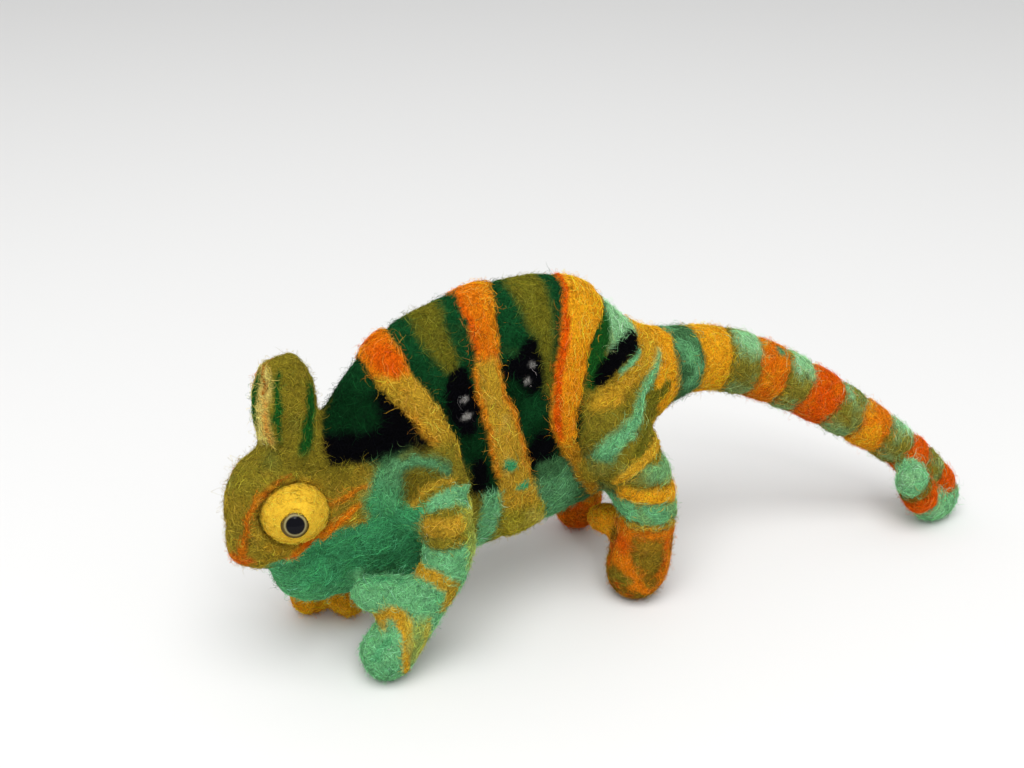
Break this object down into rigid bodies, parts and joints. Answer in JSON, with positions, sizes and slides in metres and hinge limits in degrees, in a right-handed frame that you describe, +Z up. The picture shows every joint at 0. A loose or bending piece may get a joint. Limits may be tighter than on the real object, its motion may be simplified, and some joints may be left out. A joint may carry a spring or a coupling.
{
  "type": "needle-felted wool chameleon figurine",
  "caption": "Walking chameleon figurine of needle-felted wool, with a raised casque, glass eyes in domed turrets, mitten-like gripping feet and a tail whose tip curls on the floor.",
  "frame": {"origin": "on the floor, under the middle of the figurine's box", "axes": "+X towards the tail, +Z up; the head points to -X and the left side faces -Y"},
  "size_m": [0.1932, 0.0584, 0.0807],
  "materials": {
    "olive_wool": "matt needle-felted wool, mostly olive, with fine loose fibres",
    "teal_wool": "matt needle-felted wool, mostly teal, with fine loose fibres",
    "mint_wool": "matt needle-felted wool, mostly mint, with fine loose fibres",
    "forest_wool": "matt needle-felted wool, mostly forest, with fine loose fibres",
    "amber_wool": "matt needle-felted wool, mostly amber, with fine loose fibres",
    "rust_wool": "matt needle-felted wool, mostly rust, with fine loose fibres",
    "yellow_wool": "matt needle-felted wool, mostly yellow, with fine loose fibres",
    "eye_glass": "polished domed glass, painted behind with a beige iris and a black pupil"
  },
  "bodies": {
    "root": {"head": "olive_wool", "casque": "olive_wool", "throat": "teal_wool", "neck": "forest_wool", "trunk": "forest_wool", "tail_base": "amber_wool", "tail_middle": "rust_wool", "tail_end": "amber_wool", "tail_curl": "mint_wool", "left_foreleg_upper": "olive_wool", "left_foreleg_lower": "mint_wool", "left_foreleg_outer_toes": "mint_wool", "left_foreleg_inner_toes": "amber_wool", "left_hindleg_upper": "olive_wool", "left_hindleg_lower": "mint_wool", "left_hindleg_outer_toes": "rust_wool", "left_hindleg_inner_toes": "amber_wool", "left_eye_turret": "yellow_wool", "right_foreleg_upper": "olive_wool", "right_foreleg_lower": "mint_wool", "right_foreleg_outer_toes": "rust_wool", "right_foreleg_inner_toes": "amber_wool", "right_hindleg_upper": "olive_wool", "right_hindleg_lower": "mint_wool", "right_hindleg_outer_toes": "rust_wool", "right_hindleg_inner_toes": "amber_wool", "right_eye_turret": "yellow_wool", "left_glass_eye": "eye_glass", "right_glass_eye": "eye_glass"}
  },
  "joints": []
}
